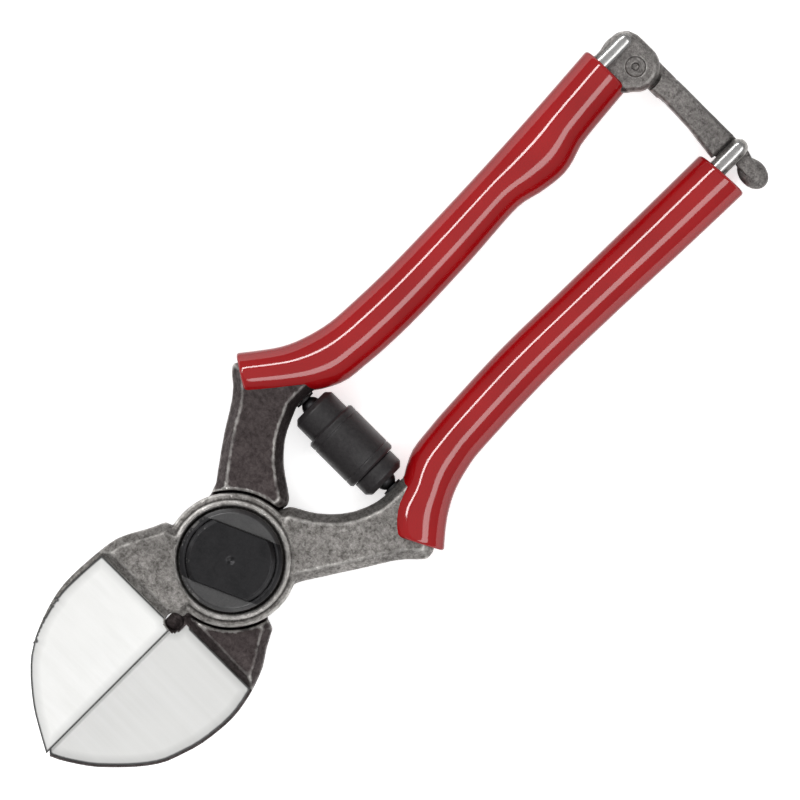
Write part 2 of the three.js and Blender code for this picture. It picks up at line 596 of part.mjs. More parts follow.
// ---- catch: a flat link that swings on the rear tang and hooks a pin in the front tang ----
function catchLever() {
  const inY = HINGE_Y + LINK_IN;
  const outY = HINGE_Y - LINK_OUT;
  const shoulder = EAR_R + 2 * GAP;
  const barEnd = earRight + 1.5 * GAP;
  const bar = [[barEnd, inY + 0.9], [-8, inY + 0.3], [-4, inY - 0.2], [4, inY - 0.5],
    [HINGE_X - 6, inY], [HINGE_X - 4, inY], [HINGE_X - 4, outY + 1.8], [HINGE_X - 6.2, outY + 1.8],
    [HINGE_X - 9.4, outY], [barEnd, outY]];
  const tongue = [[HINGE_X - 9, inY], [HINGE_X, inY], [HINGE_X, outY + 0.3], [HINGE_X - 3, outY],
    [HINGE_X - 9, outY]];
  const hookTop = CATCH_PIN_Y;
  const notchFloor = CATCH_PIN_Y - CATCH_PIN_R - GAP;
  const notchRight = CATCH_PIN_X + CATCH_PIN_R + GAP;
  const notchLeft = CATCH_PIN_X - CATCH_PIN_R - PIN_PLAY;
  const hook = [[barEnd + 1, inY], [notchRight, inY], [notchRight, notchFloor], [notchLeft, notchFloor],
    [notchLeft, hookTop - 0.2], [notchLeft - 0.6, hookTop], [KNOB.x, KNOB.y + 1.5],
    [KNOB.x, KNOB.y - 1.5], [notchLeft, outY], [barEnd + 1, outY]];
  const knob = new THREE.SphereGeometry(1, 18, 10);
  knob.scale(KNOB.rx, KNOB.ry, KNOB.rz);
  knob.translate(KNOB.x, KNOB.y, MID_Z);
  return slab(bar, MID_Z - LINK_HALF, MID_Z + LINK_HALF, LINK_BEVEL)
    .subtract(disc(shoulder, -10, 30, HINGE_X, HINGE_Y))
    .add(slab(tongue, MID_Z - TONGUE_HALF, MID_Z + TONGUE_HALF))
    .add(disc(TONGUE_R, MID_Z - TONGUE_HALF, MID_Z + TONGUE_HALF, HINGE_X, HINGE_Y, SMALL_ROUND))
    .add(slab(hook, MID_Z - TONGUE_HALF, MID_Z + TONGUE_HALF))
    .add(solid(knob))
    .subtract(disc(HINGE_R + RUN, -10, 30, HINGE_X, HINGE_Y, SMALL_ROUND));
}

function catchRivet() {
  const top = MID_Z + EAR_HALF_HEIGHT;
  const bottom = MID_Z - EAR_HALF_HEIGHT;
  return turned([[0, bottom - HINGE_HEAD_RISE], [HINGE_HEAD_R - 0.3, bottom - HINGE_HEAD_RISE],
    [HINGE_HEAD_R, bottom], [HINGE_R, bottom], [HINGE_R, top], [HINGE_HEAD_R, top],
    [HINGE_HEAD_R - 0.3, top + HINGE_HEAD_RISE], [0.9, top + HINGE_HEAD_RISE], [0, top - 0.4]],
  HINGE_X, HINGE_Y, SMALL_ROUND);
}

function catchPin() {
  const reach = EAR_HALF_HEIGHT - 1 - GAP;
  return disc(CATCH_PIN_R, MID_Z - reach, MID_Z + reach, CATCH_PIN_X, CATCH_PIN_Y, SMALL_ROUND);
}

// ---- the assembly ----
const rearGrip = grip(rearGripOuter, rearGripInner, rearShank, rearTangEnd,
  GRIP_END_Y + REAR_GRIP_SHORT).subtract(tangEnd(earRib, GAP, EAR_RIB_RISE));
const frontGrip = grip(frontGripOuter, frontGripInner, frontShank, frontTangEnd, GRIP_END_Y);
const shears = new THREE.Group();
shears.add(
  named('rear_arm', rearArm(), 'darkForging'),
  named('front_arm', frontArm(), 'forging'),
  named('rear_grip', rearGrip, 'redVinyl'),
  named('front_grip', frontGrip, 'redVinyl'),
  named('pivot_bolt', pivotBolt(), 'black'),
  named('pivot_bush', ring(BOLT_R + RUN, BOLT_R + RUN + BUSH_WALL, BOLT_HEAD_HEIGHT,
    FRONT_BOSS_TOP), 'bronze'),
  named('thrust_washer', ring(boreR, THRUST_WASHER_R, rearTop, frontBottom), 'bronze'),
  named('spring_washer', ring(BOLT_R + RUN, SPRING_WASHER_R, FRONT_BOSS_TOP,
    FRONT_BOSS_TOP + SPRING_WASHER_HEIGHT), 'steel'),
  named('pivot_nut', pivotNut(), 'black'),
  named('rear_spring_peg', springPeg(REAR_WALL_X, 1), 'black'),
  named('front_spring_peg', springPeg(FRONT_WALL_X, -1), 'black'),
  named('rear_spring_cup', rearSpringCup(), 'blackPlastic'),
  named('front_spring_cup', frontSpringCup(), 'blackPlastic'),
  named('spring_guard', guardSleeve(), 'blackPlastic'),
  named('coil_spring', coilSpring(), 'steel'),
  named('catch_lever', catchLever(), 'forging'),
  named('catch_rivet', catchRivet(), 'steel'),
  named('catch_pin', catchPin(), 'steel'),
);

export default shears;
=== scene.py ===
# %% [markdown]
# # Bypass pruning shears, closed and latched
#
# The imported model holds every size, body and joint. This lesson loads it, leaves it where it
# is, and gives each part the skin that a finished tool has: forged and ground steel, dipped
# vinyl, moulded plastic. Everything is in metres, with the pivot axis on the origin, the
# blades along +Y and the top of the tool towards +Z.

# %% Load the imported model
import json
import math

import bmesh
import bpy
from mathutils import Matrix, Vector, kdtree, noise


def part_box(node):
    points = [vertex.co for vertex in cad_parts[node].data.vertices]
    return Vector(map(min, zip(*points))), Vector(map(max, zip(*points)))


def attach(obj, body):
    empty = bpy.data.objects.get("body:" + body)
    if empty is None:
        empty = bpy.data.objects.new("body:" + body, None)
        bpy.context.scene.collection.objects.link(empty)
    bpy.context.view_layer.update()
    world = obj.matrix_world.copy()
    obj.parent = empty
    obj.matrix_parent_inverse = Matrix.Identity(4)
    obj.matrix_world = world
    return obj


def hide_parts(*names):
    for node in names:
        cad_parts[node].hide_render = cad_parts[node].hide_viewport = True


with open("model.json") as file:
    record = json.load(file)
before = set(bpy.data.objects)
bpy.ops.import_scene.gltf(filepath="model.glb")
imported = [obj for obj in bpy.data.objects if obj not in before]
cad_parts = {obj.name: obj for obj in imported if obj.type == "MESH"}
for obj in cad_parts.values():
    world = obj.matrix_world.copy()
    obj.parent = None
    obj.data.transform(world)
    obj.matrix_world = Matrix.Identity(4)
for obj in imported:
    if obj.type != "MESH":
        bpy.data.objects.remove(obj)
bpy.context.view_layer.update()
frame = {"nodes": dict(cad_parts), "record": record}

MM = 0.001
BODY_OF = {node: body for body, nodes in frame["record"]["behaviour"]["bodies"].items()
           for node in nodes}

# %% [markdown]
# ## The camera
#
# A long lens high above the tool keeps its outline free of perspective, as a catalogue
# picture does. The tool lies diagonally in the picture, so the camera is turned about its
# own line of sight and not tilted.

# %% Camera
VIEW_WIDTH = 191.2 * MM
VIEW_CENTRE = Vector((-1.5 * MM, -55.5 * MM, 7.5 * MM))
VIEW_DISTANCE = 2.0
VIEW_TURN = math.radians(225)
SENSOR = 36.0

camera_data = bpy.data.cameras.new("camera")
camera_data.sensor_width = SENSOR
camera_data.lens = SENSOR * VIEW_DISTANCE / VIEW_WIDTH
camera = bpy.data.objects.new("camera", camera_data)
camera.location = VIEW_CENTRE + Vector((0, 0, VIEW_DISTANCE))
camera.rotation_euler = (0, 0, VIEW_TURN)
bpy.context.scene.collection.objects.link(camera)
bpy.context.scene.camera = camera
print("lens", round(camera_data.lens), "mm")

# %% [markdown]
# ## Building shaders
#
# A finish is a small network of nodes. Two helpers keep the networks readable: one adds a
# node with its values and links in a single call, the other stretches a range of values.
# Effects that several finishes share are node groups with named inputs and outputs.

# %% Node helpers
def add(tree, kind, values=None, links=None, **settings):
    node = tree.nodes.new("ShaderNode" + kind)
    for name, value in settings.items():
        setattr(node, name, value)
    for socket, value in (values or {}).items():
        node.inputs[socket].default_value = value
    for socket, source in (links or {}).items():
        tree.links.new(source, node.inputs[socket])
    return node


def remap(tree, source, low, high, to_low=0.0, to_high=1.0):
    values = {"From Min": low, "From Max": high, "To Min": to_low, "To Max": to_high}
    return add(tree, "MapRange", values, {"Value": source}).outputs["Result"]


def calculate(tree, operation, first, second):
    node = add(tree, "Math", operation=operation)
    for socket, value in zip(node.inputs, (first, second)):
        if isinstance(value, (int, float)):
            socket.default_value = value
        else:
            tree.links.new(value, socket)
    return node.outputs[0]


def blend_colour(tree, factor, low, high):
    node = add(tree, "Mix", data_type="RGBA")
    tree.links.new(factor, node.inputs["Factor"])
    for socket, value in ((node.inputs[6], low), (node.inputs[7], high)):
        if isinstance(value, tuple):
            socket.default_value = (*value, 1)
        else:
            tree.links.new(value, socket)
    return node.outputs[2]


def shader_group(name, inputs, outputs):
    tree = bpy.data.node_groups.new(name, "ShaderNodeTree")
    for label, default in inputs.items():
        kind = "NodeSocketVector" if default is None else "NodeSocketFloat"
        socket = tree.interface.new_socket(label, in_out="INPUT", socket_type=kind)
        if default is not None:
            socket.default_value = default
    for label in outputs:
        tree.interface.new_socket(label, in_out="OUTPUT", socket_type="NodeSocketFloat")
    return tree, tree.nodes.new("NodeGroupInput").outputs, tree.nodes.new("NodeGroupOutput").inputs


def use_group(tree, group, **values):
    node = add(tree, "Group", node_tree=group)
    for name, value in values.items():
        socket = node.inputs[name.replace("_", " ").capitalize()]
        if isinstance(value, (int, float)):
            socket.default_value = value
        else:
            tree.links.new(value, socket)
    return node.outputs


def new_finish(name, **sockets):
    material = bpy.data.materials.new(name)
    material.use_nodes = True
    shader = material.node_tree.nodes["Principled BSDF"]
    for label, value in sockets.items():
        shader.inputs[label.replace("_", " ")].default_value = value
    return material, material.node_tree, shader.inputs


def place_of(tree):
    return add(tree, "TexCoord").outputs["Object"]


def pointiness_of(tree):
    return add(tree, "NewGeometry").outputs["Pointiness"]


def relief(tree, height, depth, strength):
    values = {"Distance": depth, "Strength": strength}
    return add(tree, "Bump", values, {"Height": height}).outputs["Normal"]


# %% [markdown]
# ## Shared effects
#
# Four effects turn up in more than one finish. Scale that flakes off a forging leaves a mottle of
# light and dark with small pits. Handling wears ridges bright, and on the forgings that bare metal
# also stands in for the highlights their edges catch. Corners get painted shade, a darker colour.
# The "Edge" input says where those are, above one half on a ridge and below it in a corner. A
# grinding wheel leaves fine parallel lines. And no finish has exactly the same tone from end to
# end.

# %% Forged scale
forged_scale, at, out = shader_group("forged_scale", {"Place": None, "Grain size": 1.0 * MM},
                                     ["Mottle", "Height"])
scale = calculate(forged_scale, "DIVIDE", 1.0, at["Grain size"])
coarse = add(forged_scale, "TexNoise", {"Detail": 4.0, "Roughness": 0.65},
             {"Vector": at["Place"], "Scale": calculate(forged_scale, "MULTIPLY", scale, 0.35)})
fine = add(forged_scale, "TexNoise", {"Detail": 3.0, "Roughness": 0.7, "Distortion": 0.6},
           {"Vector": at["Place"], "Scale": scale})
pits = add(forged_scale, "TexVoronoi", {},
           {"Vector": at["Place"], "Scale": calculate(forged_scale, "MULTIPLY", scale, 0.8)})
blotch = remap(forged_scale, coarse.outputs["Fac"], 0.36, 0.66)
speck = remap(forged_scale, fine.outputs["Fac"], 0.38, 0.64)
both = calculate(forged_scale, "MULTIPLY", calculate(forged_scale, "ADD", blotch, speck), 0.5)
pit = remap(forged_scale, pits.outputs["Distance"], 0.0, 0.35)
forged_scale.links.new(both, out["Mottle"])
forged_scale.links.new(calculate(forged_scale, "MULTIPLY", both, pit), out["Height"])

# %% Edge wear and painted corner shade
edge_wear_and_corner_shade, at, out = shader_group(
    "edge_wear_and_corner_shade", {"Place": None, "Edge": 0.5, "Start": 0.525, "Full": 0.6}, ["Ridge", "Corner"])
patchy = add(edge_wear_and_corner_shade, "TexNoise", {"Scale": 260.0, "Detail": 3.0, "Roughness": 0.6},
             {"Vector": at["Place"]})
rubbed = remap(edge_wear_and_corner_shade, patchy.outputs["Fac"], 0.34, 0.62, 0.2, 1.0)
ridge = add(edge_wear_and_corner_shade, "MapRange", {},
            {"Value": at["Edge"], "From Min": at["Start"], "From Max": at["Full"]})
worn_ridge = calculate(edge_wear_and_corner_shade, "MULTIPLY", ridge.outputs["Result"], rubbed)
edge_wear_and_corner_shade.links.new(worn_ridge, out["Ridge"])
# Corner: painted shade, where the surface dips below its neighbours.
edge_wear_and_corner_shade.links.new(remap(edge_wear_and_corner_shade, at["Edge"], 0.48, 0.42), out["Corner"])

# %% Grinding lines
grinding_lines, at, out = shader_group("grinding_lines", {"Place": None, "Pitch": 0.12 * MM},
                                       ["Lines", "Streaks"])
stretched = add(grinding_lines, "Mapping", {"Scale": (0.02, 1.0, 1.0)},
                {"Vector": at["Place"]}).outputs["Vector"]
lines = add(grinding_lines, "TexNoise", {"Detail": 2.0, "Roughness": 0.5},
            {"Vector": stretched,
             "Scale": calculate(grinding_lines, "DIVIDE", 1.0, at["Pitch"])})
wide = add(grinding_lines, "TexNoise", {"Scale": 420.0, "Detail": 3.0}, {"Vector": stretched})
grinding_lines.links.new(remap(grinding_lines, lines.outputs["Fac"], 0.3, 0.7), out["Lines"])
grinding_lines.links.new(remap(grinding_lines, wide.outputs["Fac"], 0.35, 0.65), out["Streaks"])

# %% Drifting tone
tone_drift, at, out = shader_group(
    "tone_drift", {"Place": None, "Patch size": 12.0 * MM}, ["Tone"])
patches = add(tone_drift, "TexNoise", {"Detail": 2.0, "Roughness": 0.5},
              {"Vector": at["Place"],
               "Scale": calculate(tone_drift, "DIVIDE", 1.0, at["Patch size"])})
tone_drift.links.new(remap(tone_drift, patches.outputs["Fac"], 0.3, 0.7), out["Tone"])
print("shared effects:", [group.name for group in bpy.data.node_groups])

# %% [markdown]
# ## Finishes
#
# The two arms are drop forgings, tumbled and oiled, and the rear one has kept more of its dark
# scale. Both use one recipe with their own colours: mottled scale, painted shade in the corners,
# and bare metal along the ridges, which also paints in the highlights their edges catch.

# %% Forged steel
BARE_STEEL = (0.74, 0.72, 0.69)
DARKER_SHARE = 0.55


def forged_finish(name, dark, light, grain):
    material, tree, shader = new_finish(name, Metallic=0.85)
    place = place_of(tree)
    skin = use_group(tree, forged_scale, place=place, grain_size=grain)
    tone = use_group(tree, tone_drift, place=place, patch_size=14.0 * MM)
    stands_out = add(tree, "Attribute", attribute_name="stands_out").outputs["Fac"]
    height = remap(tree, stands_out, -0.05, 0.05, 0.4, 0.6)
    edge = use_group(tree, edge_wear_and_corner_shade, place=place, edge=height)
    colour = blend_colour(tree, skin["Mottle"], dark, light)
    shade = tuple(DARKER_SHARE * value for value in dark)
    colour = blend_colour(tree, remap(tree, tone["Tone"], 0, 1, 0.35, 0.0), colour, shade)
    # Painted shade: the colour turns darker in the corners that the Edge input finds.
    colour = blend_colour(tree, calculate(tree, "MULTIPLY", edge["Corner"], 0.8), colour, shade)
    # Bare steel on the ridges: worn metal, which also paints in the highlights that the forged
    # edges catch.
    bare = edge["Ridge"]
    tree.links.new(blend_colour(tree, bare, colour, BARE_STEEL), shader["Base Color"])
    rough = remap(tree, skin["Mottle"], 0.2, 0.9, 0.58, 0.4)
    smoother = calculate(tree, "MULTIPLY", bare, 0.14)
    tree.links.new(calculate(tree, "SUBTRACT", rough, smoother), shader["Roughness"])
    tree.links.new(relief(tree, skin["Height"], 0.12 * MM, 0.7), shader["Normal"])
    return material


light_forging = forged_finish("light_forging", dark=(0.10, 0.092, 0.085),
                              light=(0.44, 0.42, 0.40), grain=0.75 * MM)
dark_forging = forged_finish("dark_forging", dark=(0.038, 0.029, 0.029),
                             light=(0.11, 0.090, 0.089), grain=0.9 * MM)
small_forging = forged_finish("small_forging", dark=(0.10, 0.092, 0.088),
                              light=(0.36, 0.34, 0.325), grain=0.45 * MM)

# %% [markdown]
# The blades are ground on a wheel that runs across them, so their lines lie square to the cutting
# edge. The steel is bright and evenly satin. Towards its borders it gets soft painted shade, and
# it ends in a thin painted shadow line along the cut and the outline. The mesh carries its
# distance to the border as an attribute named "to_border".

# %% Ground steel
ground_steel, tree, shader = new_finish("ground_steel", Metallic=1.0)
place = place_of(tree)
marks = use_group(tree, grinding_lines, place=place)
tone = use_group(tree, tone_drift, place=place, patch_size=18.0 * MM)
to_border = add(tree, "Attribute", attribute_name="to_border").outputs["Fac"]
colour = blend_colour(tree, marks["Streaks"], (0.76, 0.76, 0.745), (0.81, 0.81, 0.80))
drift = remap(tree, tone["Tone"], 0, 1, 0.0, 0.6)
colour = blend_colour(tree, drift, colour, (0.83, 0.83, 0.815))
# Painted shade, softly darkening the ground steel towards its borders.
painted_border_shade = remap(tree, to_border, 0.4 * MM, 2.6 * MM, 0.3, 0.0)
colour = blend_colour(tree, painted_border_shade, colour, (0.2, 0.2, 0.2))
# A thin painted shadow line right at the border of the ground face.
painted_border_shadow = remap(tree, to_border, 0.3 * MM, 0.6 * MM, 1.0, 0.0)
colour = blend_colour(tree, painted_border_shadow, colour, (0.09, 0.09, 0.09))
tree.links.new(colour, shader["Base Color"])
tree.links.new(remap(tree, marks["Lines"], 0, 1, 0.46, 0.54), shader["Roughness"])
tree.links.new(relief(tree, marks["Lines"], 0.01 * MM, 0.35), shader["Normal"])


# %% [markdown]
# The pivot bolt and nut are blackened steel: an almost even dark grey with a soft sheen,
# faint turning marks, and the first bare metal on their outer edges. Pins, pegs and washers
# are plain bright steel, and the bush and thrust washer are bronze.

# %% Blackened steel, bright steel and bronze
def turned_finish(name, dark, light, roughness, wear, metal):
    material, tree, shader = new_finish(name, Metallic=metal)
    place = place_of(tree)
    skin = use_group(tree, forged_scale, place=place, grain_size=0.35 * MM)
    edge = use_group(tree, edge_wear_and_corner_shade, place=place, edge=pointiness_of(tree), start=0.55, full=0.68)
    tone = use_group(tree, tone_drift, place=place, patch_size=5.0 * MM)
    mix = calculate(tree, "MULTIPLY", calculate(tree, "ADD", skin["Mottle"], tone["Tone"]), 0.5)
    bare = calculate(tree, "MULTIPLY", edge["Ridge"], wear)
    tree.links.new(blend_colour(tree, bare, blend_colour(tree, mix, dark, light), BARE_STEEL),
                   shader["Base Color"])
    rough = remap(tree, mix, 0.2, 0.8, roughness + 0.06, roughness - 0.06)
    tree.links.new(rough, shader["Roughness"])
    tree.links.new(relief(tree, skin["Height"], 0.02 * MM, 0.4), shader["Normal"])
    return material


black_steel = turned_finish("black_steel", dark=(0.018, 0.018, 0.019),
                            light=(0.045, 0.044, 0.046), roughness=0.42, wear=0.25, metal=0.9)
rubbed_black = turned_finish("rubbed_black_steel", dark=(0.075, 0.075, 0.076),
                             light=(0.14, 0.138, 0.138), roughness=0.4, wear=0.25, metal=0.9)
bright_steel = turned_finish("bright_steel", dark=(0.40, 0.40, 0.39),
                             light=(0.62, 0.61, 0.60), roughness=0.3, wear=0.3, metal=1.0)
bronze = turned_finish("bronze", dark=(0.42, 0.26, 0.10),
                       light=(0.62, 0.42, 0.19), roughness=0.35, wear=0.1, metal=1.0)

# %% [markdown]
# The handles are dipped in red vinyl. It is smooth and wet-looking, because the plastic levels
# itself before it sets. Its colour is painted darker where the surface turns away from the view,
# towards the sides: painted shade. The spring guard is moulded in black plastic with a fine, dry
# grain.

# %% Vinyl and plastic
red_vinyl, tree, shader = new_finish("red_vinyl", IOR=1.5)
place = place_of(tree)
tone = use_group(tree, tone_drift, place=place, patch_size=16.0 * MM)
fine = use_group(tree, tone_drift, place=place, patch_size=2.2 * MM)
turned_away = add(tree, "LayerWeight", {"Blend": 0.5}).outputs["Facing"]
colour = blend_colour(tree, tone["Tone"], (0.34, 0.002, 0.004), (0.41, 0.004, 0.006))
# Painted shade: the red turns darker where the surface faces away from the view, towards the
# sides.
painted_side_shade = remap(tree, turned_away, 0.35, 0.9, 0.0, 0.7)
colour = blend_colour(tree, painted_side_shade, colour, (0.13, 0.001, 0.004))
tree.links.new(colour, shader["Base Color"])
tree.links.new(remap(tree, turned_away, 0.16, 0.6, 0.85, 0.06), shader["Specular IOR Level"])
tree.links.new(remap(tree, fine["Tone"], 0, 1, 0.07, 0.11), shader["Roughness"])
tree.links.new(relief(tree, fine["Tone"], 0.01 * MM, 0.2), shader["Normal"])

black_plastic, tree, shader = new_finish("black_plastic", IOR=1.46)
place = place_of(tree)
grain = use_group(tree, forged_scale, place=place, grain_size=0.3 * MM)
edge = use_group(tree, edge_wear_and_corner_shade, place=place, edge=pointiness_of(tree), start=0.53, full=0.62)
colour = blend_colour(tree, grain["Mottle"], (0.016, 0.014, 0.015), (0.034, 0.031, 0.032))
rubbed = calculate(tree, "MULTIPLY", edge["Ridge"], 0.5)
tree.links.new(blend_colour(tree, rubbed, colour, (0.12, 0.11, 0.11)), shader["Base Color"])
tree.links.new(remap(tree, grain["Mottle"], 0.2, 0.8, 0.34, 0.48), shader["Roughness"])
tree.links.new(relief(tree, grain["Height"], 0.03 * MM, 0.4), shader["Normal"])
print("finishes:", len(bpy.data.materials))


# %% [markdown]
# ## Pieces
#
# Every piece is finished the same way: its mesh goes into an object at the origin, it rides
# on the body of the CAD node that it stands for, and it names the finish slot it belongs to.

# %% Finishing a piece
def piece_from(form, name, nodes, finishes, sharp=40):
    mesh = bpy.data.meshes.new(name)
    form.to_mesh(mesh)
    form.free()
    for finish in finishes:
        mesh.materials.append(finish)
    mesh.shade_smooth()
    mesh.set_sharp_from_angle(angle=math.radians(sharp))
    piece = bpy.data.objects.new(name, mesh)
    bpy.context.scene.collection.objects.link(piece)
    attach(piece, BODY_OF[nodes[0]])
    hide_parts(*nodes)
    print(name, "faces", len(mesh.polygons), "on", BODY_OF[nodes[0]])


def centre_of(node):
    low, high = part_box(node)
    return (low + high) / 2


# %% [markdown]
# ### Even skins
#
# Forged and machined parts start as clean forms with few faces. To round their edges the way
# tumbling does, and to let wear find the ridges, the form needs small even faces. Blender's
# Remesh modifier in Sharp mode gives those and keeps every corner where it was; the corners
# are then relaxed by smoothing, more on a forging and hardly at all on a ground edge.

# %% Remeshing and relaxing
SAME_POINT = 0.002 * MM


def merged_copy(node):
    form = bmesh.new()
    form.from_mesh(frame["nodes"][node].data)
    bmesh.ops.remove_doubles(form, verts=form.verts, dist=SAME_POINT)
    return form


def even_skin(form, depth):
    mesh = bpy.data.meshes.new("skin")
    form.to_mesh(mesh)
    form.free()
    holder = bpy.data.objects.new("skin", mesh)
    bpy.context.scene.collection.objects.link(holder)
    remesh = holder.modifiers.new("remesh", "REMESH")
    remesh.mode = "SHARP"
    remesh.octree_depth = depth
    remesh.scale = 0.99
    remesh.use_remove_disconnected = False
    skin = bmesh.new()
    skin.from_object(holder, bpy.context.evaluated_depsgraph_get())
    bpy.data.objects.remove(holder)
    return skin


def relax(form, vertices, passes):
    for _ in range(passes):
        bmesh.ops.smooth_vert(form, verts=vertices, factor=0.5,
                              use_axis_x=True, use_axis_y=True, use_axis_z=True)


# %% [markdown]
# ### The arms
#
# Each arm is one forging that carries a blade, a boss and a tang. The same steel shows four
# surfaces, and each face of the skin has to know which one it belongs to. A face is ground steel
# where it lies flat beyond the grinding line, and forged elsewhere. The hollow of the sap notch
# keeps the dark forged finish, which also serves as painted shade inside the hollow. Past the
# grips the hand and the catch rub the tang ends, so the ear that holds the rivet is a lighter
# grey, and the tops of the raised ribs are bright steel: rubbed metal, and also a painted
# highlight on their rounded tops. Four separate pieces would leave seams, so one mesh carries all
# four finishes, in the order of these numbers. The front arm has no ear, but its list keeps that
# place, so that the numbers mean the same.

# %% Surfaces of the arms
FORGED, GROUND, EAR, RUBBED_AND_HIGHLIT = range(4)
FRONT_GRIND_Y = 21.0 * MM
REAR_GRIND_Y = 18.6 * MM
MEETING_PLANE = centre_of("thrust_washer").z
BLADE_THICK = 4.2 * MM
RIM_STEP = 0.1 * MM
FLAT = 0.9
NOTCH = Vector((-0.8 * MM, 20 * MM))
NOTCH_RADIUS = 2.7 * MM
TANG_END_Y = -146.0 * MM
EAR_TOP = MEETING_PLANE + 4.3 * MM
REAR_RIB = 0.8 * MM


def in_notch(place, margin=0.0):
    return (place.xy - NOTCH).length <= NOTCH_RADIUS + margin


def is_ground(middle, flatness, grind_y, highest):
    reached_by_wheel = middle.y > grind_y and middle.z < highest
    # The notch is never ground; its dark forged finish also serves as painted shade inside the
    # hollow.
    return reached_by_wheel and flatness > FLAT and not in_notch(middle)


def front_surface(middle, flatness):
    if is_ground(middle, flatness, FRONT_GRIND_Y, MEETING_PLANE + BLADE_THICK):
        return GROUND
    # Top faces of the tang end: rubbed bright steel, which also paints in the highlight on their
    # rounded tops.
    return RUBBED_AND_HIGHLIT if middle.y < TANG_END_Y and middle.z > EAR_TOP else FORGED


def rear_surface(middle, flatness):
    if is_ground(middle, flatness, REAR_GRIND_Y, MEETING_PLANE + RIM_STEP):
        return GROUND
    if middle.y > TANG_END_Y:
        return FORGED
    # Top faces of the ribs: rubbed bright steel, which also paints in the highlight on their
    # rounded tops.
    return RUBBED_AND_HIGHLIT if middle.z > EAR_TOP + REAR_RIB else EAR


# %% [markdown]
# Two finishes need to know more than a face can tell. Wear and the painted edge highlights find
# the ridges, and the painted shade along a blade's border follows its outline, so both are
# measured on the mesh once and kept as a number on each vertex. How far a vertex stands out is its
# height above the middle of its neighbours. One stray vertex would show as a bright speck, so each
# takes the middle value of its neighbourhood. The distance to the border is found with a KD-tree,
# which looks up the nearest of many points quickly.

# %% Marks for the finishes
LEVEL = 0.85
BORDER_START = 1 * MM


def mark_ridges(form, worn=lambda place: True):
    """Writes, in millimetres, how far each point stands out from those around it."""
    stands_out = form.verts.layers.float.new("stands_out")
    form.normal_update()
    height = {}
    for vertex in form.verts:
        around = [edge.other_vert(vertex).co for edge in vertex.link_edges]
        middle = sum(around, Vector()) / len(around)
        height[vertex] = vertex.normal.dot(vertex.co - middle) / MM
    for vertex in form.verts:
        beside = [height[edge.other_vert(vertex)] for edge in vertex.link_edges]
        near = sorted([height[vertex]] + beside)
        vertex[stands_out] = near[len(near) // 2] if worn(vertex.co) else 0


def mark_border(form, grind_y):
    """Writes how far each point lies from the nearest slope or wall of the blade."""
    walls = [vertex for vertex in form.verts if vertex.co.y > grind_y - BORDER_START
             and min(face.normal.z for face in vertex.link_faces) < LEVEL
             and max(face.normal.z for face in vertex.link_faces) > LEVEL]
    nearest = kdtree.KDTree(len(walls))
    for i, vertex in enumerate(walls):
        nearest.insert(vertex.co.xy.to_3d(), i)
    nearest.balance()
    to_border = form.verts.layers.float.new("to_border")
    for face in form.faces:
        if face.material_index == GROUND:
            for vertex in face.verts:
                vertex[to_border] = nearest.find(vertex.co.xy.to_3d())[2]


# %% [markdown]
# The skin is left crisp where a wheel has ground it, which is the blade beyond the grinding
# line. The rest is relaxed, more on the handle and less beside the ground faces, and the
# handle is then pushed in and out a few hundredths of a millimetre, because forged scale is
# never flat. A bump in the material could show that too, but it would leave the outline
# perfectly straight.

# %% Arms
ARM_SKIN_DEPTH = 9
HANDLE_PASSES, BLADE_PASSES = 6, 3
SCALE_RELIEF = 0.05 * MM
LUMPS_PER_METRE, GRAINS_PER_METRE = 350, 900
GRAIN_SHARE = 0.6
NOTCH_RIM = 0.5 * MM


def forged_relief(form, vertices):
    form.normal_update()
    for vertex in vertices:
        grains = noise.noise(vertex.co * GRAINS_PER_METRE)
        lumps = noise.noise(vertex.co * LUMPS_PER_METRE) + GRAIN_SHARE * grains
        vertex.co += vertex.normal * (lumps * SCALE_RELIEF)


def make_arm(node, name, grind_y, surface, finishes):
    form = even_skin(merged_copy(node), ARM_SKIN_DEPTH)
    form.normal_update()
    for face in form.faces:
        face.material_index = surface(face.calc_center_median(), abs(face.normal.z))
    mark_border(form, grind_y)
    ground = {vertex for face in form.faces if face.material_index == GROUND
              for vertex in face.verts}
    forged = [vertex for vertex in form.verts if vertex not in ground]
    relax(form, [vertex for vertex in forged if vertex.co.y < grind_y], HANDLE_PASSES)
    relax(form, [vertex for vertex in forged if vertex.co.y >= grind_y], BLADE_PASSES)
    forged_relief(form, [vertex for vertex in forged if vertex.co.y < grind_y])
    mark_ridges(form, lambda place: place.y < grind_y and not in_notch(place, NOTCH_RIM))
    piece_from(form, name, [node], finishes, sharp=60)


make_arm("front_arm", "front_blade_and_handle", FRONT_GRIND_Y, front_surface,
         [light_forging, ground_steel, small_forging, bright_steel])
make_arm("rear_arm", "rear_blade_and_handle", REAR_GRIND_Y, rear_surface,
         [dark_forging, ground_steel, small_forging, bright_steel])


# %% [markdown]
# ### The grips
#
# A dipped handle is a soft sleeve whose section changes all the way along, so it is lofted:
# a ring of points is placed at each station along the handle and bridged to the next. The
# two edges of the handle are smooth curves through a few points, from the mouth of the
# sleeve past the knee to the square end. The ring between them is a full, rounded section.

# %% Smooth edges
GRIP_BEND_Y = -62.0
GRIP_END_Y = -148.6
REAR_GRIP_SHORT = 2.2
HANDLE_Z = centre_of("front_grip").z
KNEE_STATIONS = 16
STRAIGHT_STATIONS = 44
CURVE_STEPS = 16


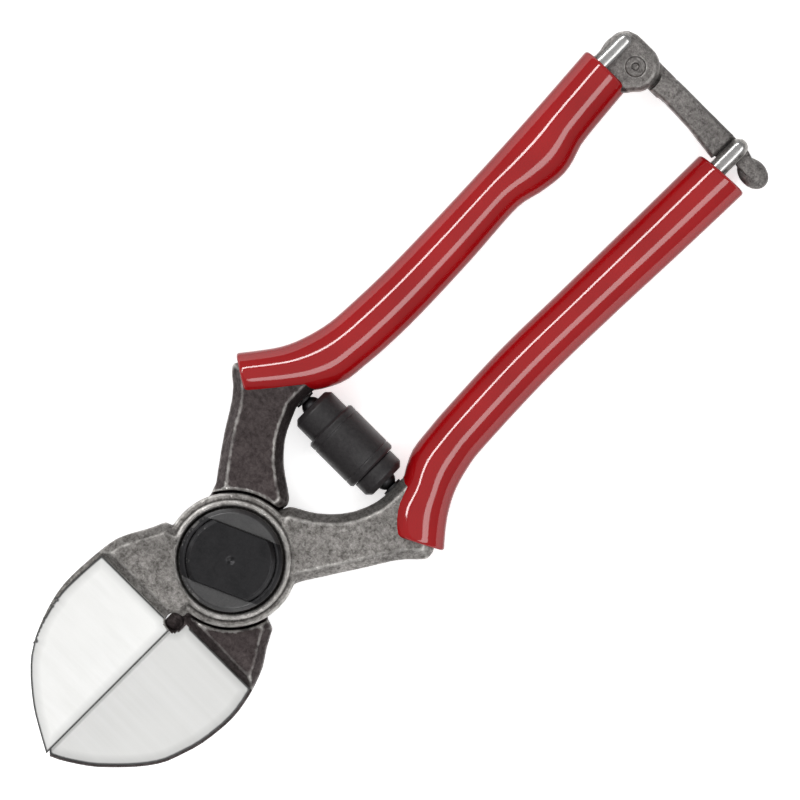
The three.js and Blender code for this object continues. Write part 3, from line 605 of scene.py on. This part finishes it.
def smooth_path(points):
    """A fine Catmull-Rom curve through the points."""
    ends = [points[0]] + points + [points[-1]]
    path = [points[0]]
    for a, b, c, d in zip(ends, ends[1:], ends[2:], ends[3:]):
        for step in range(1, CURVE_STEPS + 1):
            t = step / CURVE_STEPS
            path.append(0.5 * (2 * b + (c - a) * t + (2 * a - 5 * b + 4 * c - d) * t * t
                               + (3 * b - a - 3 * c + d) * t ** 3))
    return path


def evenly(path, count):
    """The same path with its points the same distance apart."""
    reach = [0.0]
    for a, b in zip(path, path[1:]):
        reach.append(reach[-1] + (b - a).length)
    spots, i = [], 0
    for step in range(count + 1):
        target = reach[-1] * step / count
        while i < len(path) - 2 and reach[i + 1] < target:
            i += 1
        share = (target - reach[i]) / (reach[i + 1] - reach[i])
        spots.append(path[i].lerp(path[i + 1], share))
    return spots


def grip_edge(knee, straight, short=0.0):
    """Stations along one edge: the knee in points, the straight in shares of its length."""
    stretch = GRIP_END_Y - GRIP_BEND_Y
    points = knee + [(x, GRIP_BEND_Y + share * stretch) for x, share in straight]
    path = smooth_path([Vector((x * MM, y * MM, HANDLE_Z)) for x, y in points])
    path = [point for point in path if point.y >= (GRIP_END_Y + short) * MM]
    bend = next(i for i, point in enumerate(path) if point.y <= GRIP_BEND_Y * MM)
    knee_spots = evenly(path[:bend + 1], KNEE_STATIONS)
    return knee_spots[:-1] + evenly(path[bend:], STRAIGHT_STATIONS)


# %% [markdown]
# The sleeve has a wall, so the rings run out along the outside, round the square end and
# back along the inside. Near both ends the outer rings shrink along a quarter circle, which
# rolls the lip the way the dip does when it sets.

# %% Sleeve lofts
GRIP_HALF_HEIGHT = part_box("front_grip")[1].z - HANDLE_Z
GRIP_WALL = 1.9 * MM
GRIP_SIDES = 56
GRIP_FULLNESS = 2.08
LIP = 0.8 * MM


def ring(form, left, right, inset):
    made = bmesh.ops.create_circle(form, segments=GRIP_SIDES, radius=1)
    middle = (left + right) / 2
    reach = (right - left) / 2
    reach *= 1 - inset / reach.length
    for vertex in made["verts"]:
        across, up = vertex.co.x, vertex.co.y
        across = math.copysign(abs(across) ** (2 / GRIP_FULLNESS), across)
        up = math.copysign(abs(up) ** (2 / GRIP_FULLNESS), up)
        vertex.co = middle + across * reach + Vector((0, 0, up * (GRIP_HALF_HEIGHT - inset)))
    return list({edge for vertex in made["verts"] for edge in vertex.link_edges})


def with_lip(stations):
    """The stations of one end, with close rings added where the lip rolls in."""
    (a, b), (c, d) = stations[:2]
    gap = (c - a).length
    rolled = []
    for angle in (0, 22, 45, 67, 90):
        depth = LIP * (1 - math.cos(math.radians(angle)))
        inset = LIP * (1 - math.sin(math.radians(angle)))
        rolled.append((a.lerp(c, depth / gap), b.lerp(d, depth / gap), inset))
    return rolled


def make_grip(node, name, outer, inner):
    stations = list(zip(outer, inner))
    outside = [(a, b, 0.0) for a, b in stations[1:-1]]
    inside = [(a, b, GRIP_WALL) for a, b in reversed(stations)]
    sections = with_lip(stations) + outside + with_lip(stations[::-1])[::-1] + inside
    form = bmesh.new()
    rings = [ring(form, *section) for section in sections]
    for first, second in zip(rings, rings[1:] + rings[:1]):
        bmesh.ops.bridge_loops(form, edges=first + second)
    bmesh.ops.recalc_face_normals(form, faces=form.faces)
    piece_from(form, name, [node], [red_vinyl], sharp=60)


# %% Front grip
front_outer = grip_edge(
    knee=[(-34.5, -37.4), (-31.4, -41), (-28.7, -44.7), (-26.1, -49.7), (-24.4, -55.7)],
    straight=[(-23.6, 0), (-22.8, 0.25), (-23.2, 0.5), (-24.1, 0.77), (-24.7, 1)])
front_inner = grip_edge(
    knee=[(-22.3, -31.2), (-19.4, -33.6), (-17, -36.8), (-15.8, -40.4), (-15.1, -43),
          (-13.4, -46), (-11.9, -49.7), (-11.2, -55.7)],
    straight=[(-10.7, 0), (-9.9, 0.22), (-10.2, 0.45), (-10.5, 0.7), (-10.8, 1)])
make_grip("front_grip", "front_grip_sleeve", front_outer, front_inner)

# %% [markdown]
# The rear grip has a swelling on its inner side, which stops the fingers from sliding.

# %% Rear grip
rear_outer = grip_edge(
    knee=[(34.2, -35.7), (30.8, -40), (27.5, -44.7), (25.3, -49.7), (23.7, -55.7)],
    straight=[(23.1, 0), (22.7, 0.15), (23, 0.33), (23.6, 0.52), (24.3, 0.68), (25.2, 0.84),
              (26.2, 1)],
    short=REAR_GRIP_SHORT)
rear_inner = grip_edge(
    knee=[(25, -29.9), (21, -34.6), (16, -40.8), (13.2, -44.7), (10.9, -49.7), (10.2, -55.7)],
    straight=[(9.7, 0), (9.5, 0.13), (10.1, 0.33), (11.1, 0.5), (10.9, 0.555), (9.9, 0.6),
              (9.1, 0.66), (9.1, 0.7), (9.9, 0.74), (11.1, 0.785), (12.2, 0.91), (12.8, 1)],
    short=REAR_GRIP_SHORT)
make_grip("rear_grip", "rear_grip_sleeve", rear_outer, rear_inner)


# %% [markdown]
# ### Turned parts
#
# The bolt, the nut, the pins and the moulded spring cups are all round, so each is a profile
# spun about an axis. Sharp corners of the profile then get a small bevel, which catches the
# light as a real edge does.

# %% Turning
SEAM_GAP = 0.004 * MM
CORNER = math.radians(30)


def turned(profile, bevel, steps=96):
    form = bmesh.new()
    points = [form.verts.new((radius, 0, height)) for radius, height in profile]
    lines = [form.edges.new(pair) for pair in zip(points, points[1:])]
    bmesh.ops.spin(form, geom=points + lines, cent=(0, 0, 0), axis=(0, 0, 1), angle=2 * math.pi,
                   steps=steps, use_merge=True)
    bmesh.ops.remove_doubles(form, verts=form.verts, dist=SEAM_GAP)
    bmesh.ops.recalc_face_normals(form, faces=form.faces)
    if bevel:
        corners = [edge for edge in form.edges if edge.calc_face_angle(0) > CORNER]
        bmesh.ops.bevel(form, geom=corners, offset=bevel, offset_type="OFFSET", segments=2,
                        profile=0.5, affect="EDGES", material=-1, clamp_overlap=True)
    return form


def laid_along_x(form, centre):
    """Turns a form that stands on its axis so that it lies along +X through the centre."""
    quarter_turn = Matrix.Rotation(math.pi / 2, 3, "Y")
    bmesh.ops.rotate(form, verts=form.verts, cent=(0, 0, 0), matrix=quarter_turn)
    bmesh.ops.translate(form, verts=form.verts, vec=centre)
    return form


# %% [markdown]
# The pivot nut is a thick black disc with a raised band that a spanner grips. The band is
# the middle of a low dome, cut by two flats, so the dome is spun and bisected first, and
# then both are remeshed into one skin with softened corners. The dome's rim stays a little
# inside the disc's chamfer, because two surfaces in one place would roughen the skin. Beside
# the band the black has been rubbed lighter, so those faces take the second finish.

# %% Pivot nut
NUT_ACROSS_FLATS = 15.2 * MM
NUT_BAND_HEIGHT = 1.3 * MM
NUT_BAND_TURN = math.radians(24)
NUT_CHAMFER = 0.9 * MM
NUT_DOME_INSET = 0.3 * MM
NUT_SINK = 0.5 * MM
NUT_CENTRE_MARK = 1.1 * MM
NUT_SKIN_DEPTH = 7
NUT_PASSES = 3


def make_nut():
    low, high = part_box("pivot_nut")
    radius = (high.x - low.x) / 2
    deck = high.z - NUT_BAND_HEIGHT
    crown_radius = radius - NUT_CHAMFER - NUT_DOME_INSET
    form = turned([(0, deck - NUT_SINK), (crown_radius, deck - NUT_SINK),
                   (crown_radius - NUT_BAND_HEIGHT, high.z), (NUT_CENTRE_MARK, high.z),
                   (0, high.z - NUT_SINK)], bevel=0)
    across = Vector((-math.sin(NUT_BAND_TURN), math.cos(NUT_BAND_TURN), 0))
    for flat in (-across, across):
        cut = bmesh.ops.bisect_plane(form, geom=form.verts[:] + form.edges[:] + form.faces[:],
                                     plane_co=flat * NUT_ACROSS_FLATS / 2, plane_no=flat,
                                     clear_outer=True)
        rim = [item for item in cut["geom_cut"] if isinstance(item, bmesh.types.BMEdge)]
        bmesh.ops.contextual_create(form, geom=rim)
    disc = turned([(0, low.z), (radius, low.z), (radius, deck - NUT_CHAMFER),
                   (radius - NUT_CHAMFER, deck), (0, deck)], bevel=0)
    both = bpy.data.meshes.new("nut_forms")
    disc.to_mesh(both)
    form.from_mesh(both)
    disc.free()
    bpy.data.meshes.remove(both)
    skin = even_skin(form, NUT_SKIN_DEPTH)
    relax(skin, skin.verts, NUT_PASSES)
    for face in skin.faces:
        beside_band = abs(face.calc_center_median().dot(across)) > NUT_ACROSS_FLATS / 2
        face.material_index = int(beside_band)
    piece_from(skin, "pivot_nut_cap", ["pivot_nut"], [black_steel, rubbed_black],
               sharp=180)


make_nut()

# %% [markdown]
# The bolt's head closes the pivot from below, and the tool lies on it. It is a plain disc
# with a chamfer and a turning centre; its shank runs up through the bush into the nut.

# %% Pivot bolt
low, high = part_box("pivot_bolt")
head_radius = (high.x - low.x) / 2
HEAD_TOP = 1.8 * MM
HEAD_CHAMFER = 0.5 * MM
SHANK_RADIUS = 5 * MM
SHANK_CHAMFER = 0.6 * MM
piece_from(
    turned([(0, 0.5 * MM), (1.2 * MM, 0), (9.2 * MM, 0), (9.5 * MM, 0.2 * MM), (9.8 * MM, 0),
            (head_radius - HEAD_CHAMFER, 0), (head_radius, HEAD_CHAMFER),
            (head_radius, HEAD_TOP), (SHANK_RADIUS, HEAD_TOP),
            (SHANK_RADIUS, high.z - SHANK_CHAMFER),
            (SHANK_RADIUS - SHANK_CHAMFER, high.z), (0, high.z)], bevel=0.1 * MM),
    "pivot_bolt_with_head", ["pivot_bolt"], [black_steel])

# %% [markdown]
# ### The spring unit
#
# Two plastic cups slide in one another round a coil spring, and a loose guard sleeve keeps
# dirt out of the joint between them. The guard has a shallow groove near each end, where
# the mould closes, and every edge has the small radius that lets a moulding come free. All
# three are spun like the bolt and then laid on their side, so they share one helper.

# %% Spring cups and guard
def make_spring_part(node, name, profile, bevel, finish=black_plastic):
    centre = centre_of(node)
    form = laid_along_x(turned(profile, bevel, steps=80), Vector((0, centre.y, centre.z)))
    piece_from(form, name, [node], [finish], sharp=50)


cup_low, cup_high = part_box("rear_spring_cup")
cup_radius = (cup_high.z - cup_low.z) / 2
CUP_EDGE = 0.22 * MM
CUP_WALL = 0.85 * MM
CUP_CHAMFER = 1.2 * MM
BALL_OPENING = 3.0 * MM
CUP_FLOOR = 3.7 * MM
make_spring_part("rear_spring_cup", "rear_spring_cup_moulding", [
    (0, cup_high.x - CUP_FLOOR + 0.6 * MM), (BALL_OPENING * 0.8, cup_high.x - 2.2 * MM),
    (BALL_OPENING, cup_high.x - 0.4 * MM), (BALL_OPENING + 0.3 * MM, cup_high.x),
    (cup_radius - CUP_CHAMFER, cup_high.x), (cup_radius, cup_high.x - CUP_CHAMFER),
    (cup_radius, cup_low.x), (cup_radius - CUP_WALL, cup_low.x),
    (cup_radius - CUP_WALL, cup_high.x - CUP_FLOOR), (0, cup_high.x - CUP_FLOOR)], CUP_EDGE)

# %% Front cup
front_low, front_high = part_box("front_spring_cup")
FRONT_CUP_LENGTH = 4.6 * MM
SLIDING_GAP = 0.2 * MM
TUBE_WALL = 0.8 * MM
tube_radius = cup_radius - CUP_WALL - SLIDING_GAP
make_spring_part("front_spring_cup", "front_spring_cup_moulding", [
    (0, front_low.x + CUP_FLOOR - 0.6 * MM), (BALL_OPENING * 0.8, front_low.x + 2.2 * MM),
    (BALL_OPENING, front_low.x + 0.4 * MM), (BALL_OPENING + 0.3 * MM, front_low.x),
    (cup_radius - CUP_CHAMFER, front_low.x), (cup_radius, front_low.x + CUP_CHAMFER),
    (cup_radius, front_low.x + FRONT_CUP_LENGTH), (tube_radius, front_low.x + FRONT_CUP_LENGTH),
    (tube_radius, front_high.x), (tube_radius - TUBE_WALL, front_high.x),
    (tube_radius - TUBE_WALL, front_low.x + CUP_FLOOR), (0, front_low.x + CUP_FLOOR)], CUP_EDGE)

# %% Guard sleeve
guard_low, guard_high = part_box("spring_guard")
guard_radius = (guard_high.z - guard_low.z) / 2
GROOVE = 0.18 * MM
GROOVE_INSET = 2.1 * MM
GUARD_CHAMFER = 0.5 * MM
guard_inside = cup_radius + SLIDING_GAP
groove_a, groove_b = guard_low.x + GROOVE_INSET, guard_high.x - GROOVE_INSET
make_spring_part("spring_guard", "spring_guard_sleeve", [
    (guard_inside, guard_low.x), (guard_radius - GUARD_CHAMFER, guard_low.x),
    (guard_radius, guard_low.x + GUARD_CHAMFER),
    (guard_radius, groove_a - GROOVE), (guard_radius - GROOVE, groove_a),
    (guard_radius, groove_a + GROOVE),
    (guard_radius, groove_b - GROOVE), (guard_radius - GROOVE, groove_b),
    (guard_radius, groove_b + GROOVE),
    (guard_radius, guard_high.x - GUARD_CHAMFER), (guard_radius - GUARD_CHAMFER, guard_high.x),
    (guard_inside, guard_high.x), (guard_inside, guard_low.x)], bevel=0.08 * MM)


# %% [markdown]
# The unit hangs between two ball pegs that are pressed into the handles, and the balls let
# the cups turn as the handles open.

# %% Ball pegs
BALL_RADIUS = 2.5 * MM
BALL_TO_WALL = 2.7 * MM
NECK_RADIUS = 1.4 * MM
PEG_RADIUS = 1.7 * MM


def make_peg(node, name, way):
    low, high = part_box(node)
    ball = low.x + BALL_RADIUS if way > 0 else high.x - BALL_RADIUS
    far = high.x if way > 0 else low.x
    wall = ball + way * BALL_TO_WALL
    globe = [(BALL_RADIUS * math.sin(angle), ball - way * BALL_RADIUS * math.cos(angle))
             for angle in (math.radians(step) for step in range(0, 141, 10))]
    profile = globe + [(NECK_RADIUS, wall - way * 0.6 * MM),
                       (BALL_RADIUS, wall - way * 0.5 * MM), (BALL_RADIUS, wall),
                       (PEG_RADIUS, wall), (PEG_RADIUS, far), (0, far)]
    make_spring_part(node, name, profile, bevel=0, finish=black_steel)


make_peg("rear_spring_peg", "rear_ball_peg", 1)
make_peg("front_spring_peg", "front_ball_peg", -1)

# %% [markdown]
# ### The catch
#
# The catch is a small forging: a flat link with a slotted joint at one end and a hook with
# a thumb knob at the other. It gets the same relaxed skin as the arms, on a finer mesh.

# %% Catch lever
CATCH_SKIN_DEPTH = 8
CATCH_PASSES = 8
catch_skin = even_skin(merged_copy("catch_lever"), CATCH_SKIN_DEPTH)
relax(catch_skin, catch_skin.verts, CATCH_PASSES)
forged_relief(catch_skin, catch_skin.verts)
mark_ridges(catch_skin)
piece_from(catch_skin, "catch_lever_forging", ["catch_lever"], [small_forging],
           sharp=180)

# %% [markdown]
# The catch turns on a rivet whose ends are peened into shallow dishes, and its hook holds a
# plain cross pin. Both stand upright, so a spun profile only has to be moved to its place.

# %% Catch rivet and pin
low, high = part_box("catch_rivet")
rivet_radius = (high.x - low.x) / 2
RIVET_SHANK = 1.9 * MM
RIVET_HEAD = 0.5 * MM
RIVET_CHAMFER = 0.4 * MM


def shifted(form, node):
    centre = centre_of(node)
    bmesh.ops.translate(form, verts=form.verts, vec=(centre.x, centre.y, 0))
    return form


rivet = turned([
    (0, low.z + 0.3 * MM), (0.8 * MM, low.z), (rivet_radius - RIVET_CHAMFER, low.z),
    (rivet_radius, low.z + RIVET_HEAD), (RIVET_SHANK, low.z + RIVET_HEAD),
    (RIVET_SHANK, high.z - RIVET_HEAD), (rivet_radius, high.z - RIVET_HEAD),
    (rivet_radius - RIVET_CHAMFER, high.z), (0.95 * MM, high.z),
    (0.75 * MM, high.z - 0.8 * MM), (0, high.z - 0.9 * MM)], bevel=0.08 * MM, steps=48)
piece_from(shifted(rivet, "catch_rivet"), "catch_rivet_pin", ["catch_rivet"],
           [small_forging])

low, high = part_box("catch_pin")
pin_radius = (high.x - low.x) / 2
PIN_CHAMFER = 0.2 * MM
pin = turned([
    (0, low.z), (pin_radius - PIN_CHAMFER, low.z), (pin_radius, low.z + PIN_CHAMFER),
    (pin_radius, high.z - PIN_CHAMFER), (pin_radius - PIN_CHAMFER, high.z), (0, high.z)],
    bevel=0, steps=40)
piece_from(shifted(pin, "catch_pin"), "catch_cross_pin", ["catch_pin"],
           [bright_steel])

# %% [markdown]
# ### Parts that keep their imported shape
#
# The bush, the washers and the coil are plain turned or wound parts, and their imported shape
# is already right. They only get their finish.

# %% Bush, washers and coil
for node, finish in (("pivot_bush", bronze), ("thrust_washer", bronze),
                     ("spring_washer", bright_steel), ("coil_spring", bright_steel)):
    frame["nodes"][node].material_slots[0].material = finish
    print(node, "in", finish.name)

# %% [markdown]
# ## Floor and light
#
# The tool lies on a pale sweep. Two long strips run along the handles, one on each side:
# they draw the two highlight lines on the vinyl and light the satin flats of the blades. A
# large soft box overhead and a dim room fill in the rest, so that slopes and walls fall dark.
# The floor lies a hair below the bolt's head, because two surfaces in one plane flicker.

# %% Floor
FLOOR_REACH = 6.0
FLOOR_DROP = 0.05 * MM
FLOOR_GLOW = 0.6
floor_form = bmesh.new()
bmesh.ops.create_grid(floor_form, x_segments=1, y_segments=1, size=FLOOR_REACH)
bmesh.ops.translate(floor_form, verts=floor_form.verts, vec=(0, 0, -FLOOR_DROP))
floor_mesh = bpy.data.meshes.new("floor")
floor_form.to_mesh(floor_mesh)
floor_form.free()
floor = bpy.data.objects.new("floor", floor_mesh)
bpy.context.scene.collection.objects.link(floor)
floor_finish, tree, shader = new_finish("floor_finish", Roughness=0.9, Specular_IOR_Level=0.1,
                                        Emission_Strength=FLOOR_GLOW)
shader["Base Color"].default_value = (0.9, 0.9, 0.9, 1)
shader["Emission Color"].default_value = (1, 1, 1, 1)
floor_mesh.materials.append(floor_finish)


# %% Lights
AIM = Vector((0, -50 * MM, 0))
ROOM_LIGHT = 0.28


def soft_box(name, place, size, power):
    data = bpy.data.lights.new(name, "AREA")
    data.shape = "RECTANGLE"
    data.size, data.size_y = size
    data.energy = power
    lamp = bpy.data.objects.new(name, data)
    lamp.location = place
    lamp.rotation_euler = (AIM - Vector(place)).to_track_quat("-Z", "Y").to_euler()
    bpy.context.scene.collection.objects.link(lamp)


soft_box("overhead", place=(0, -0.05, 1.6), size=(1.6, 1.6), power=1.2)
soft_box("strip_narrow", place=(0.92, -0.05, 1.15), size=(1.5, 0.20), power=11)
soft_box("strip_wide", place=(-0.66, -0.05, 1.15), size=(1.5, 0.52), power=7.5)

world = bpy.data.worlds.new("room")
world.use_nodes = True
background = world.node_tree.nodes["Background"].inputs
background["Color"].default_value = (1, 1, 1, 1)
background["Strength"].default_value = ROOM_LIGHT
bpy.context.scene.world = world
bpy.context.scene.view_settings.view_transform = "Standard"
print("lights:", len(bpy.data.lights))
